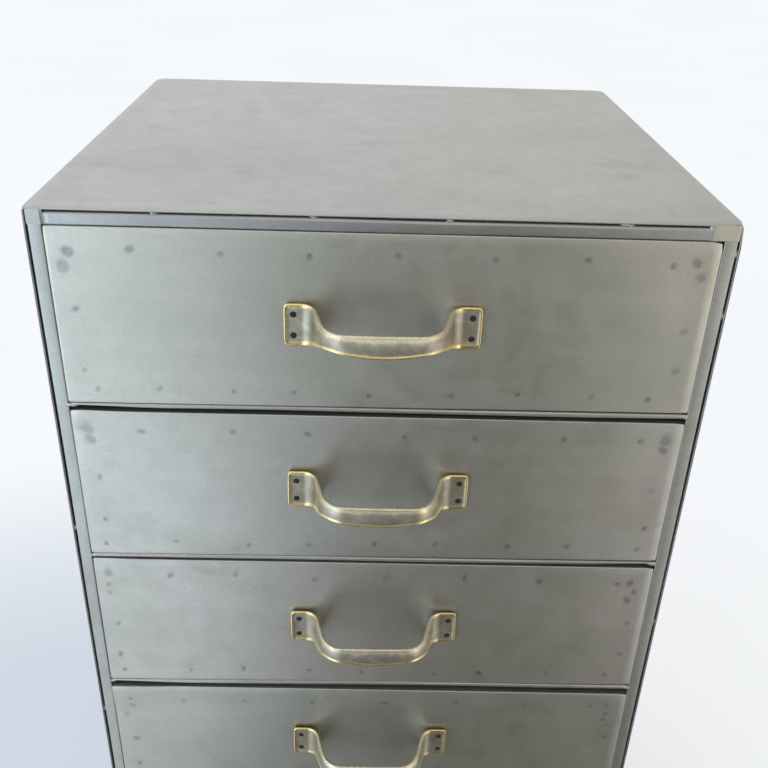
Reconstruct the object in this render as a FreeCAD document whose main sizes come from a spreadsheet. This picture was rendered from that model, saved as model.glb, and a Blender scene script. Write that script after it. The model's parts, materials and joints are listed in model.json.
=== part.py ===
import FreeCAD, Part
import os

import Sketcher

# Tall chest of full-width steel drawers: a welded frame of posts, rails and angle runners,
# skinned with thin sheet, with one bow pull on each drawer. Millimetres, +Z up.
# The front faces -Y. The origin is on the floor, midway along the overall depth, pulls included.

SIZES = [
    # carcass
    ("width", 450.0, "overall width over the side panels"),
    ("depth", 417.0, "front plane to the outside of the back"),
    ("height", 1130.0, "floor to the upper side of the top panel"),
    ("sheet", 1.2, "sheet of the top, sides, back and drawer fronts"),
    ("plate", 1.5, "bottom panel and runner angles"),
    ("top_gap", 1.6, "open line between the top panel and the top rail"),
    ("side_gap", 1.3, "open line between a post and its side panel"),
    ("post_width", 8.5, "posts, across the cabinet"),
    ("post_depth", 22.0, "posts and rails, front to back"),
    ("post_wall", 1.2, "wall of the post and rail tubes"),
    ("post_round", 3.0, "rounded corners of posts and rails"),
    ("top_rail_height", 8.4, "height of the top rail"),
    ("side_reveal", 0.35, "gap at each end of a drawer front"),
    ("corner_back", 9.0, "plan corner radius of the top panel, back"),
    ("corner_left", 3.0, "plan corner radius of the top panel, front left"),
    ("corner_right", 8.0, "plan corner radius of the top panel, front right"),
    ("leg_size", 25.0, "square tube legs"),
    ("leg_wall", 2.0, "wall of the legs"),
    ("leg_height", 60.0, "legs, from glide to bottom panel"),
    ("glide_height", 4.0, "glides under the legs"),
    # drawers
    ("pitch", 130.7, "drawer to drawer"),
    ("front_height", 123.5, "drawer front"),
    ("front_flange", 12.0, "folded rim of a drawer front"),
    ("front_round", 1.6, "bend radius of the folded rim"),
    ("gap_above", 2.5, "open line above a drawer front"),
    ("gap_below", 0.7, "open line under a drawer front"),
    ("nose_height", 4.0, "rounded nose of a divider rail"),
    ("nose_depth", 8.0, "front to back of that nose"),
    ("nose_round", 1.8, "rounding of that nose"),
    ("box_sheet", 1.0, "sheet of the drawer boxes"),
    ("box_half", 211.0, "half of a drawer box's width"),
    ("box_depth", 388.0, "drawer box, front to back"),
    ("box_height", 112.0, "drawer box"),
    ("box_hem", 6.0, "height of the folded hem round a drawer box"),
    ("box_lift", 3.0, "drawer box above the lower edge of its front"),
    ("run_clearance", 0.3, "drawer box above its runners"),
    ("runner_leg", 15.0, "angle runner legs"),
    ("stop_gap", 0.5, "drawer box to its stops"),
    ("travel", 330.0, "how far a drawer pulls out"),
    ("lug_width", 30.0, "stop lug under a drawer box"),
    ("lug_height", 7.0, "how far that lug hangs"),
    # pulls
    ("pull_length", 130.0, "overall length of a pull"),
    ("pull_height", 31.5, "height of its feet"),
    ("pull_raise", 1.5, "pull above the middle of the drawer front"),
    ("foot_thick", 3.2, "thickness of its feet"),
    ("grip_out", 39.4, "drawer front to the outside of the grip"),
    ("grip_in", 35.2, "drawer front to the inside of the grip"),
    ("grip_half_out", 41.5, "half length at the outer corners of the grip"),
    ("grip_half_in", 36.5, "half length at the inner corners of the grip"),
    ("neck_half_out", 50.0, "where the neck leaves the foot, outer side"),
    ("neck_half_in", 45.0, "where the neck leaves the foot, inner side"),
    ("grip_round_out", 18.0, "outer corner radius of the grip"),
    ("grip_round_in", 14.0, "inner corner radius of the grip"),
    ("neck_round", 6.0, "radius where the neck meets the foot"),
    ("foot_round", 3.0, "corner radius of a foot"),
    ("grip_top", 12.5, "upper edge of the grip above the pull's middle"),
    ("grip_low", 5.6, "lower edge of the grip below the pull's middle"),
    ("neck_low", 0.8, "lower edge at the corners, above the middle"),
    ("arch_foot", 14.5, "lower edge where the neck leaves the foot"),
    ("rivet_from_end", 6.4, "pull rivets, in from the end of the foot"),
    ("rivet_spread", 15.0, "pull rivets, apart"),
    ("rivet_size", 3.2, "rivet shank diameter"),
    ("rivet_hole", 3.4, "rivet hole diameter"),
    ("rivet_head", 4.4, "rivet head diameter, outside"),
    ("rivet_tail", 6.0, "rivet head diameter, inside"),
    ("rivet_rise", 0.8, "height of the rivet heads"),
    # welds
    ("weld_radius", 2.4, "tack weld"),
]
DRAWERS = 8
TOP_WELDS = (-0.32, -0.10, 0.088, 0.336)     # along the top rail, as parts of the width
SIDE_WELDS = {-1: (246.0, 435.0, 640.0, 845.0, 1020.0), 1: (20.0, 63.0, 330.0, 610.0, 900.0)}
REAR_WELDS = (60.0, 340.0, 620.0, 900.0)     # below the top panel, on both rear posts

doc = FreeCAD.newDocument("drawer_chest")
sheet = doc.addObject("Spreadsheet::Sheet", "Sizes")
for row, (alias, value, note) in enumerate(SIZES, start=1):
    sheet.set("A%d" % row, alias)
    sheet.set("B%d" % row, str(value))
    sheet.set("C%d" % row, note)
    sheet.setAlias("B%d" % row, alias)
doc.recompute()

# Places that several pieces share, as expressions on the sheet.
FRONT_Y = "(Sizes.grip_out - Sizes.depth) / 2"
INNER_HALF = "(Sizes.width / 2 - Sizes.sheet)"
POST_OUT = "(Sizes.width / 2 - Sizes.sheet - Sizes.side_gap)"
POST_IN = "(Sizes.width / 2 - Sizes.sheet - Sizes.side_gap - Sizes.post_width)"
UNDER_TOP = "(Sizes.height - Sizes.sheet)"
FLOOR_PANEL = "(Sizes.glide_height + Sizes.leg_height)"
FLOOR_TOP = "(Sizes.glide_height + Sizes.leg_height + Sizes.plate)"
RAIL_LOW = "(Sizes.height - Sizes.sheet - Sizes.top_gap - Sizes.top_rail_height)"
FRONT_HALF = "(%s - Sizes.side_reveal)" % POST_IN
REAR_POST_Y = "(Sizes.depth - Sizes.sheet - Sizes.post_depth)"
PULL_MIDDLE = "(Sizes.front_height / 2 + Sizes.pull_raise)"

nodes = []


def front_low(number):
    """Height of a drawer front's lower edge, drawers counted from the top."""
    below = "Sizes.gap_above - Sizes.front_height - %d * Sizes.pitch" % (number - 1)
    return "(%s - %s)" % (RAIL_LOW, below)


def place(thing, x="0", y="0", z="0"):
    """Puts a sub-part at x, y and z, with y counted from the front plane."""
    thing.setExpression(".Placement.Base.x", x)
    thing.setExpression(".Placement.Base.y", "%s + (%s)" % (FRONT_Y, y))
    thing.setExpression(".Placement.Base.z", z)


def keep(thing, label):
    """Registers a finished sub-part under the name of its file."""
    thing.Label = label
    nodes.append(thing)
    return thing


def plane(body, role):
    """One of a body's own origin planes."""
    return next(item for item in body.Origin.OriginFeatures if item.Role == role)


def new_body(name):
    return doc.addObject("PartDesign::Body", name)


def sketch_on(body, role, name, offset=None):
    """An empty sketch on an origin plane, moved along the plane's normal by offset."""
    sketch = body.newObject("Sketcher::SketchObject", name)
    sketch.AttachmentSupport = [(plane(body, role), "")]
    sketch.MapMode = "FlatFace"
    if offset:
        sketch.setExpression(".AttachmentOffset.Base.z", offset)
    return sketch


def value_of(expression):
    """The present value of an expression on the sheet."""
    return float(sheet.evalExpression(expression.replace("Sizes.", "")))


def bind_corner(sketch, line, across, up):
    """Binds a corner to its expressions; a corner on an axis is fixed there instead."""
    for kind, axis, expression in (("DistanceX", -2, across), ("DistanceY", -1, up)):
        if value_of(expression) == 0.0:
            sketch.addConstraint(Sketcher.Constraint("PointOnObject", line, 1, axis))
            continue
        start = value_of(expression)
        index = sketch.addConstraint(Sketcher.Constraint(kind, -1, 1, line, 1, start))
        name = "%s_%d" % (kind.lower(), line)
        sketch.renameConstraint(index, name)
        sketch.setExpression("Constraints." + name, expression)


def polygon(sketch, corners):
    """A closed outline of straight lines through corners given as pairs of expressions."""
    points = [FreeCAD.Vector(value_of(a), value_of(b), 0) for a, b in corners]
    first = sketch.GeometryCount
    count = len(points)
    for index in range(count):
        sketch.addGeometry(Part.LineSegment(points[index], points[(index + 1) % count]), False)
    for index in range(count):
        following = first + (index + 1) % count
        sketch.addConstraint(Sketcher.Constraint("Coincident", first + index, 2, following, 1))
    for index, (across, up) in enumerate(corners):
        bind_corner(sketch, first + index, across, up)


def rectangle(sketch, low_x, low_y, high_x, high_y):
    polygon(sketch, [(low_x, low_y), (high_x, low_y), (high_x, high_y), (low_x, high_y)])


def circles(sketch, centres, diameter):
    """Round holes of one diameter at centres given as pairs of expressions."""
    for across, up in centres:
        centre = FreeCAD.Vector(value_of(across), value_of(up), 0)
        circle = Part.Circle(centre, FreeCAD.Vector(0, 0, 1), value_of(diameter) / 2)
        line = sketch.addGeometry(circle, False)
        for kind, expression in (("DistanceX", across), ("DistanceY", up)):
            start = value_of(expression)
            index = sketch.addConstraint(Sketcher.Constraint(kind, -1, 1, line, 3, start))
            name = "%s_%d" % (kind.lower(), line)
            sketch.renameConstraint(index, name)
            sketch.setExpression("Constraints." + name, expression)
        index = sketch.addConstraint(Sketcher.Constraint("Diameter", line, value_of(diameter)))
        name = "diameter_%d" % line
        sketch.renameConstraint(index, name)
        sketch.setExpression("Constraints." + name, diameter)


def pad(body, sketch, length, both=False, back=False):
    """Pads a sketch along its normal, both ways, or against its normal."""
    feature = body.newObject("PartDesign::Pad", sketch.Name + "_pad")
    feature.Profile = sketch
    feature.setExpression("Length", length)
    feature.Midplane = both
    feature.Reversed = back
    return feature


def pocket(body, sketch, length, both=False, ahead=False):
    """Cuts a sketch against its normal, both ways, or along its normal."""
    doc.recompute()
    before = body.Shape.Volume
    feature = body.newObject("PartDesign::Pocket", sketch.Name + "_pocket")
    feature.Profile = sketch
    feature.setExpression("Length", length)
    feature.Midplane = both
    feature.Reversed = ahead
    doc.recompute()
    if body.Shape.Volume >= before:
        raise RuntimeError("%s cuts nothing" % feature.Name)
    return feature


def fillet(body, feature, wanted, radius):
    """Rounds the edges of a feature that wanted(edge) picks."""
    doc.recompute()
    names = []
    for index, edge in enumerate(feature.Shape.Edges, start=1):
        if wanted(edge):
            names.append("Edge%d" % index)
    if not names:
        raise RuntimeError("no edges to round on " + feature.Name)
    rounding = body.newObject("PartDesign::Fillet", feature.Name + "_round")
    rounding.Base = (feature, names)
    rounding.setExpression("Radius", radius)
    return rounding


def runs_along(edge, axis):
    """True for a straight edge parallel to the axis 0, 1 or 2."""
    box = edge.BoundBox
    spans = (box.XLength, box.YLength, box.ZLength)
    return spans[axis] > 0.5 and max(spans[:axis] + spans[axis + 1:]) < 1e-6


def box(name, x, y, z, length, width, height):
    """A plain plate or bar from its low corner, with y counted from the front plane."""
    solid = doc.addObject("Part::Box", name)
    solid.setExpression("Length", length)
    solid.setExpression("Width", width)
    solid.setExpression("Height", height)
    place(solid, x, y, z)
    return solid


def joined(name, pieces):
    fused = doc.addObject("Part::MultiFuse", name)
    fused.Shapes = pieces
    return fused


def grouped(name, pieces):
    """Separate solids kept together as one sub-part."""
    group = doc.addObject("Part::Compound", name)
    group.Links = pieces
    return group


def make_top_panel():
    """Thin sheet with its four plan corners rounded."""
    body = new_body("top_panel_body")
    sketch = sketch_on(body, "XY_Plane", "top_outline")
    rectangle(sketch, "-Sizes.width / 2", "0", "Sizes.width / 2", "Sizes.depth")
    slab = pad(body, sketch, "Sizes.sheet")
    doc.recompute()

    def corner(front, side):
        def wanted(edge):
            middle = edge.BoundBox.Center
            at_front = middle.y < value_of("Sizes.depth") / 2
            on_side = middle.x * side > 0
            return runs_along(edge, 2) and at_front == front and on_side
        return wanted

    rounded = fillet(body, slab, lambda edge: corner(False, 1)(edge) or corner(False, -1)(edge),
                     "Sizes.corner_back")
    rounded = fillet(body, rounded, corner(True, -1), "Sizes.corner_left")
    fillet(body, rounded, corner(True, 1), "Sizes.corner_right")
    place(body, z=UNDER_TOP)
    keep(body, "top_panel")


def make_panels():
    """Side, back and bottom sheets."""
    rise = "%s - %s" % (UNDER_TOP, FLOOR_PANEL)
    keep(box("left_side", "-Sizes.width / 2", "0", FLOOR_PANEL,
             "Sizes.sheet", "Sizes.depth", rise), "left_side_panel")
    keep(box("right_side", INNER_HALF, "0", FLOOR_PANEL,
             "Sizes.sheet", "Sizes.depth", rise), "right_side_panel")
    keep(box("back", "-" + INNER_HALF, "Sizes.depth - Sizes.sheet", FLOOR_PANEL,
             "2 * " + INNER_HALF, "Sizes.sheet", rise), "back_panel")
    keep(box("bottom", "-" + INNER_HALF, "0", FLOOR_PANEL,
             "2 * " + INNER_HALF, "Sizes.depth - Sizes.sheet", "Sizes.plate"), "bottom_panel")


def make_post(name, side, start):
    """Upright rectangular tube with all four corners rounded."""
    body = new_body(name + "_body")
    outline = sketch_on(body, "XY_Plane", name + "_outline")
    low = POST_IN if side > 0 else "-" + POST_OUT
    high = POST_OUT if side > 0 else "-" + POST_IN
    rectangle(outline, low, "0", high, "Sizes.post_depth")
    tube = pad(body, outline, "%s - %s" % (UNDER_TOP, FLOOR_TOP))
    rounded = fillet(body, tube, lambda edge: runs_along(edge, 2), "Sizes.post_round")
    body.Tip = rounded
    bore = sketch_on(body, "XY_Plane", name + "_bore")
    rectangle(bore, low + " + Sizes.post_wall", "Sizes.post_wall",
              high + " - Sizes.post_wall", "Sizes.post_depth - Sizes.post_wall")
    pocket(body, bore, "Sizes.height", ahead=True)
    place(body, y=start, z=FLOOR_TOP)
    return body


def make_posts():
    keep(make_post("left_stile", -1, "0"), "left_stile")
    keep(make_post("right_stile", 1, "0"), "right_stile")
    rear = [make_post("rear_post_left", -1, REAR_POST_Y), make_post("rear_post_right", 1, REAR_POST_Y)]
    keep(grouped("rear_pair", rear), "rear_posts")


def make_rail(name, low, rise):
    """Horizontal rectangular tube between the stiles, rounded like them."""
    body = new_body(name + "_body")
    outline = sketch_on(body, "YZ_Plane", name + "_outline")
    rectangle(outline, "0", "0", "Sizes.post_depth", rise)
    tube = pad(body, outline, "2 * " + POST_IN, both=True)
    rounded = fillet(body, tube, lambda edge: runs_along(edge, 0), "Sizes.post_round")
    body.Tip = rounded
    bore = sketch_on(body, "YZ_Plane", name + "_bore")
    rectangle(bore, "Sizes.post_wall", "Sizes.post_wall",
              "Sizes.post_depth - Sizes.post_wall", rise + " - Sizes.post_wall")
    pocket(body, bore, "Sizes.width", both=True)
    place(body, z=low)
    keep(body, name)


def make_divider(number):
    """Rail between two drawers: a rounded hemmed nose with a flat flange behind it."""
    name = "divider_rail_%d" % number
    body = new_body(name + "_body")
    outline = sketch_on(body, "YZ_Plane", name + "_outline")
    polygon(outline, [
        ("0", "0"), ("Sizes.nose_depth", "0"),
        ("Sizes.nose_depth", "Sizes.nose_height - Sizes.sheet"),
        ("Sizes.post_depth", "Sizes.nose_height - Sizes.sheet"),
        ("Sizes.post_depth", "Sizes.nose_height"), ("0", "Sizes.nose_height")])
    bar = pad(body, outline, "2 * " + POST_IN, both=True)
    fillet(body, bar, lambda edge: runs_along(edge, 0) and edge.BoundBox.Center.y < 1e-6,
           "Sizes.nose_round")
    place(body, z="%s - Sizes.gap_below - Sizes.nose_height" % front_low(number))
    keep(body, name)


def make_runners(number):
    """A pair of angles from stile to rear post, with an upturned stop at the back."""
    name = "runners_%d" % number
    low = "%s + Sizes.box_lift - Sizes.run_clearance - Sizes.plate" % front_low(number)
    length = "%s - Sizes.post_depth" % REAR_POST_Y
    pair = []
    for side, word in ((-1, "left"), (1, "right")):
        if side > 0:
            flat_x = "%s + Sizes.plate - Sizes.runner_leg" % POST_IN
            wall_x = POST_IN
        else:
            flat_x = "-%s - Sizes.plate" % POST_IN
            wall_x = "-%s - Sizes.plate" % POST_IN
        flat = box("%s_%s_flat" % (name, word), flat_x, "Sizes.post_depth", low,
                   "Sizes.runner_leg", length, "Sizes.plate")
        wall = box("%s_%s_wall" % (name, word), wall_x, "Sizes.post_depth", low,
                   "Sizes.plate", length, "Sizes.runner_leg")
        stop = box("%s_%s_stop" % (name, word), flat_x,
                   "Sizes.sheet + Sizes.box_depth + Sizes.stop_gap", low,
                   "Sizes.runner_leg", "Sizes.plate", "Sizes.runner_leg")
        pair.append(joined("%s_%s" % (name, word), [flat, wall, stop]))
    keep(grouped(name + "_pair", pair), name)


def rivet_centres(middle):
    """The four rivets of a pull, as pairs of expressions about the height middle."""
    out = "(Sizes.pull_length / 2 - Sizes.rivet_from_end)"
    up = "Sizes.rivet_spread / 2"
    return [("%s%s" % (sign, out), "%s %s %s" % (middle, turn, up))
            for sign in ("-", "") for turn in ("-", "+")]


def make_front(number):
    """Drawer front: a sheet pan with its rim folded back."""
    name = "drawer_front_%d" % number
    body = new_body(name + "_body")
    outline = sketch_on(body, "XZ_Plane", name + "_outline")
    rectangle(outline, "-" + FRONT_HALF, "0", FRONT_HALF, "Sizes.front_height")
    slab = pad(body, outline, "Sizes.front_flange", back=True)
    rounded = fillet(body, slab, lambda edge: edge.BoundBox.YMax < 1e-6, "Sizes.front_round")
    body.Tip = rounded
    hollow = sketch_on(body, "XZ_Plane", name + "_hollow", "-Sizes.sheet")
    rectangle(hollow, "-%s + Sizes.sheet" % FRONT_HALF, "Sizes.sheet",
              "%s - Sizes.sheet" % FRONT_HALF, "Sizes.front_height - Sizes.sheet")
    pocket(body, hollow, "Sizes.front_flange")
    holes = sketch_on(body, "XZ_Plane", name + "_holes")
    circles(holes, rivet_centres(PULL_MIDDLE), "Sizes.rivet_hole")
    pocket(body, holes, "2 * Sizes.sheet")
    place(body, z=front_low(number))
    keep(body, name)


def make_box(number):
    """Open sheet tray with a stop lug under it."""
    name = "drawer_box_%d" % number
    body = new_body(name + "_body")
    outline = sketch_on(body, "XY_Plane", name + "_outline")
    rectangle(outline, "-Sizes.box_half", "0", "Sizes.box_half", "Sizes.box_depth")
    pad(body, outline, "Sizes.box_height")
    hollow = sketch_on(body, "XY_Plane", name + "_hollow", "Sizes.box_sheet")
    rectangle(hollow, "Sizes.box_sheet - Sizes.box_half", "Sizes.box_sheet",
              "Sizes.box_half - Sizes.box_sheet", "Sizes.box_depth - Sizes.box_sheet")
    pocket(body, hollow, "Sizes.box_height", ahead=True)
    hem = sketch_on(body, "XY_Plane", name + "_hem", "Sizes.box_height - Sizes.box_hem")
    rectangle(hem, "-Sizes.box_half", "0", "Sizes.box_half", "Sizes.box_depth")
    fold = "(Sizes.box_sheet + Sizes.sheet)"
    rectangle(hem, fold + " - Sizes.box_half", fold, "Sizes.box_half - " + fold, "Sizes.box_depth - " + fold)
    pad(body, hem, "Sizes.box_hem")
    lug = sketch_on(body, "XY_Plane", name + "_lug")
    lug_start = "Sizes.post_depth + Sizes.travel + Sizes.stop_gap - Sizes.sheet"
    rectangle(lug, "-Sizes.lug_width / 2", lug_start,
              "Sizes.lug_width / 2", lug_start + " + Sizes.plate")
    pad(body, lug, "Sizes.lug_height", back=True)
    holes = sketch_on(body, "XZ_Plane", name + "_holes")
    circles(holes, rivet_centres("(%s - Sizes.box_lift)" % PULL_MIDDLE), "Sizes.rivet_hole")
    pocket(body, holes, "2 * Sizes.box_sheet")
    place(body, y="Sizes.sheet", z="%s + Sizes.box_lift" % front_low(number))
    keep(body, name)


def make_handle(number):
    """Cast bow pull: flat feet, necks that swing outward and a grip with an arched lower edge."""
    name = "handle_%d" % number
    body = new_body(name + "_body")
    plan = sketch_on(body, "XY_Plane", name + "_plan")
    half = [
        ("Sizes.grip_half_out", "-Sizes.grip_out"),
        ("Sizes.neck_half_out", "-Sizes.foot_thick"),
        ("Sizes.pull_length / 2", "-Sizes.foot_thick"),
        ("Sizes.pull_length / 2", "0"),
        ("Sizes.neck_half_in", "0"),
        ("Sizes.grip_half_in", "-Sizes.grip_in")]
    mirrored = [("-" + across, up) for across, up in reversed(half)]
    polygon(plan, half + mirrored)
    bow = pad(body, plan, "Sizes.pull_height", both=True)

    def upright_at(across, out):
        def wanted(edge):
            middle = edge.BoundBox.Center
            on_corner = abs(abs(middle.x) - value_of(across)) < 0.01
            return runs_along(edge, 2) and on_corner and abs(middle.y + value_of(out)) < 0.01
        return wanted

    bow = fillet(body, bow, upright_at("Sizes.grip_half_out", "Sizes.grip_out"),
                 "Sizes.grip_round_out")
    bow = fillet(body, bow, upright_at("Sizes.grip_half_in", "Sizes.grip_in"),
                 "Sizes.grip_round_in")
    bow = fillet(body, bow, upright_at("Sizes.neck_half_out", "Sizes.foot_thick"),
                 "Sizes.neck_round")
    bow = fillet(body, bow, lambda edge: runs_along(edge, 1)
                 and abs(edge.BoundBox.Center.x) > value_of("Sizes.neck_half_out"),
                 "Sizes.foot_round")
    body.Tip = bow

    arch = sketch_on(body, "XZ_Plane", name + "_arch")
    polygon(arch, [
        ("-Sizes.neck_half_out", "-Sizes.pull_height"),
        ("Sizes.neck_half_out", "-Sizes.pull_height"),
        ("Sizes.neck_half_out", "-Sizes.arch_foot"),
        ("Sizes.grip_half_in", "Sizes.neck_low"),
        ("Sizes.grip_half_in / 2", "-Sizes.grip_low * 0.7"),
        ("0", "-Sizes.grip_low"),
        ("-Sizes.grip_half_in / 2", "-Sizes.grip_low * 0.7"),
        ("-Sizes.grip_half_in", "Sizes.neck_low"),
        ("-Sizes.neck_half_out", "-Sizes.arch_foot")])
    pocket(body, arch, "4 * Sizes.grip_out", both=True)
    crest = sketch_on(body, "XZ_Plane", name + "_crest")
    polygon(crest, [
        ("-Sizes.neck_half_out", "Sizes.pull_height / 2"),
        ("-Sizes.grip_half_in", "Sizes.grip_top"),
        ("Sizes.grip_half_in", "Sizes.grip_top"),
        ("Sizes.neck_half_out", "Sizes.pull_height / 2"),
        ("Sizes.neck_half_out", "Sizes.pull_height"),
        ("-Sizes.neck_half_out", "Sizes.pull_height")])
    pocket(body, crest, "4 * Sizes.grip_out", both=True)
    holes = sketch_on(body, "XZ_Plane", name + "_holes")
    circles(holes, rivet_centres("0"), "Sizes.rivet_hole")
    pocket(body, holes, "4 * Sizes.foot_thick", both=True)
    place(body, z="%s + %s" % (front_low(number), PULL_MIDDLE))
    keep(body, name)


def make_rivets(number):
    """Four rivets through each pull's feet, the drawer front and the drawer box."""
    name = "handle_rivets_%d" % number
    grip = "(Sizes.foot_thick + Sizes.sheet + Sizes.box_sheet)"
    middle = "(%s + %s)" % (front_low(number), PULL_MIDDLE)
    rivets = []
    for index, (across, up) in enumerate(rivet_centres(middle), start=1):
        spans = (
            ("shank", "Sizes.rivet_size / 2", "-Sizes.foot_thick", grip),
            ("head", "Sizes.rivet_head / 2", "-Sizes.foot_thick - Sizes.rivet_rise", "Sizes.rivet_rise"),
            ("tail", "Sizes.rivet_tail / 2", "Sizes.sheet + Sizes.box_sheet", "Sizes.rivet_rise"))
        turned = []
        for word, radius, start, length in spans:
            rod = doc.addObject("Part::Cylinder", "%s_%d_%s" % (name, index, word))
            rod.Placement.Rotation = FreeCAD.Rotation(FreeCAD.Vector(1, 0, 0), -90)
            rod.setExpression("Radius", radius)
            rod.setExpression("Height", length)
            place(rod, across, start, up)
            turned.append(rod)
        rivets.append(joined("%s_%d" % (name, index), turned))
    keep(grouped(name + "_set", rivets), name)


def make_legs():
    """Four square tube legs under the corners, with a glide plugged into each."""
    legs = []
    glides = []
    near = "0"
    far = "Sizes.depth - Sizes.sheet - Sizes.leg_size"
    for word, x in (("left", "-" + INNER_HALF), ("right", INNER_HALF + " - Sizes.leg_size")):
        for place_word, y in (("front", near), ("rear", far)):
            name = "%s_%s" % (word, place_word)
            outer = box("leg_outer_" + name, x, y, "Sizes.glide_height",
                        "Sizes.leg_size", "Sizes.leg_size", "Sizes.leg_height")
            bore = box("leg_bore_" + name, x + " + Sizes.leg_wall", y + " + Sizes.leg_wall",
                       "Sizes.glide_height", "Sizes.leg_size - 2 * Sizes.leg_wall",
                       "Sizes.leg_size - 2 * Sizes.leg_wall", "Sizes.leg_height")
            tube = doc.addObject("Part::Cut", "leg_" + name)
            tube.Base = outer
            tube.Tool = bore
            legs.append(tube)
            glides.append(box("glide_" + name, x, y, "0",
                              "Sizes.leg_size", "Sizes.leg_size", "Sizes.glide_height"))
    keep(grouped("leg_set", legs), "legs")
    keep(grouped("glide_set", glides), "glides")


def make_tack_welds():
    """Beads that bridge the open lines under the top panel and beside the posts."""
    beads = []

    def bead(x, y, z, length, turn):
        rod = doc.addObject("Part::Cylinder", "weld_%d" % len(beads))
        if turn:
            rod.Placement.Rotation = FreeCAD.Rotation(FreeCAD.Vector(0, 1, 0), 90)
        rod.setExpression("Radius", "Sizes.weld_radius")
        rod.setExpression("Height", length)
        place(rod, x, y, z)
        beads.append(rod)

    for part in TOP_WELDS:
        bead("%g * Sizes.width" % part, "Sizes.post_round + Sizes.weld_radius",
             "%s - Sizes.top_gap" % UNDER_TOP, "Sizes.top_gap", False)
    for side in (-1, 1):
        x = POST_OUT if side > 0 else "-" + INNER_HALF
        for drop in SIDE_WELDS[side]:
            bead(x, "Sizes.post_round + Sizes.weld_radius", "Sizes.height - %g" % drop,
                 "Sizes.side_gap", True)
        for drop in REAR_WELDS:
            bead(x, "%s + Sizes.post_depth / 2" % REAR_POST_Y, "Sizes.height - %g" % drop,
                 "Sizes.side_gap", True)
    keep(grouped("weld_set", beads), "tack_welds")


make_top_panel()
make_panels()
make_posts()
make_rail("top_rail", RAIL_LOW, "Sizes.top_rail_height")
make_rail("bottom_rail", FLOOR_TOP,
          "(%s - Sizes.gap_below - %s)" % (front_low(DRAWERS), FLOOR_TOP))
for count in range(1, DRAWERS):
    make_divider(count)
for count in range(1, DRAWERS + 1):
    make_runners(count)
    make_front(count)
    make_box(count)
    make_handle(count)
    make_rivets(count)
make_legs()
make_tack_welds()
doc.recompute()

for thing in doc.Objects:
    if "Invalid" in thing.State or "Error" in thing.State:
        raise RuntimeError("%s failed: %s" % (thing.Name, thing.State))

os.makedirs("parts", exist_ok=True)
for node in nodes:
    shape = node.Shape
    if shape.isNull() or not shape.isValid():
        raise RuntimeError("%s has no valid shape" % node.Label)
    shape.exportStep("parts/%s.step" % node.Label)
    box_of = shape.BoundBox
    print("%-18s solids %2d  volume %10.1f  x %7.1f %7.1f  y %7.1f %7.1f  z %7.1f %7.1f" % (
        node.Label, len(shape.Solids), shape.Volume, box_of.XMin, box_of.XMax,
        box_of.YMin, box_of.YMax, box_of.ZMin, box_of.ZMax))
print("%d nodes" % len(nodes))
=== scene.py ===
"""Looks for the tall steel drawer chest: raw lacquered sheet steel with cast brass bow pulls."""
import json
import math
import random

import bmesh
import bpy
import numpy as np
from mathutils import Matrix, Vector

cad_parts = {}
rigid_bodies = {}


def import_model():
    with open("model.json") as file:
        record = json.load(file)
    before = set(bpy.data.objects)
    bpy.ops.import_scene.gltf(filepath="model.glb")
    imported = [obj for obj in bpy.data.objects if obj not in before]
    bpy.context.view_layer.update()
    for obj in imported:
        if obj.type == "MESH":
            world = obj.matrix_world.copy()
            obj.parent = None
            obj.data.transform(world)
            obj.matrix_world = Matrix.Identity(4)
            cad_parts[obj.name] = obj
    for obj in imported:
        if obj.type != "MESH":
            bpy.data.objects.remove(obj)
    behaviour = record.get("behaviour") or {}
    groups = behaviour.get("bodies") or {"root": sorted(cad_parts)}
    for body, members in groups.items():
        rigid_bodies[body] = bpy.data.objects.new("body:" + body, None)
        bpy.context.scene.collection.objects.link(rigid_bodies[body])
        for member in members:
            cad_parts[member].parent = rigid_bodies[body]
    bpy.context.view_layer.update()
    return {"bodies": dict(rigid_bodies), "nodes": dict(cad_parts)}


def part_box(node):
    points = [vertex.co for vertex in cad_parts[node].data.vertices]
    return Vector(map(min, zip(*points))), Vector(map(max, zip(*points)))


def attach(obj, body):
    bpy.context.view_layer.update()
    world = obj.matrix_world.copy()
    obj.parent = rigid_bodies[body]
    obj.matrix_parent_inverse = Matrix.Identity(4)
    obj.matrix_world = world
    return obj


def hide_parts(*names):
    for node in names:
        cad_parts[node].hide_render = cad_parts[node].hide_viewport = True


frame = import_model()

MM = 0.001
DRAWERS = sum(1 for body in frame["bodies"] if body.startswith("drawer_"))
TOP_LOW, TOP_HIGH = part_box("top_panel")
WIDTH = TOP_HIGH.x - TOP_LOW.x
FRONT = TOP_LOW.y
DEPTH = TOP_HIGH.y - FRONT
HEIGHT = TOP_HIGH.z
SHEET = TOP_HIGH.z - TOP_LOW.z

ARC_POINTS = 7             # points along each rounded corner of a bar's section
FULL_TURN = 6.28           # radians, for the random start of a ripple


# ---------------------------------------------------------------- meshes

def new_piece(name, vertices, faces):
    """A mesh object with faces turned outward and smooth shading."""
    mesh = bpy.data.meshes.new(name)
    mesh.from_pydata([tuple(v) for v in vertices], [], faces)
    work = bmesh.new()
    work.from_mesh(mesh)
    bmesh.ops.recalc_face_normals(work, faces=work.faces)
    work.to_mesh(mesh)
    work.free()
    mesh.polygons.foreach_set("use_smooth", [True] * len(mesh.polygons))
    piece = bpy.data.objects.new(name, mesh)
    bpy.context.scene.collection.objects.link(piece)
    return piece


def flat_piece(name, corners):
    """One flat face with four corners."""
    mesh = bpy.data.meshes.new(name)
    mesh.from_pydata(corners, [], [(0, 1, 2, 3)])
    piece = bpy.data.objects.new(name, mesh)
    bpy.context.scene.collection.objects.link(piece)
    return piece


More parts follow.
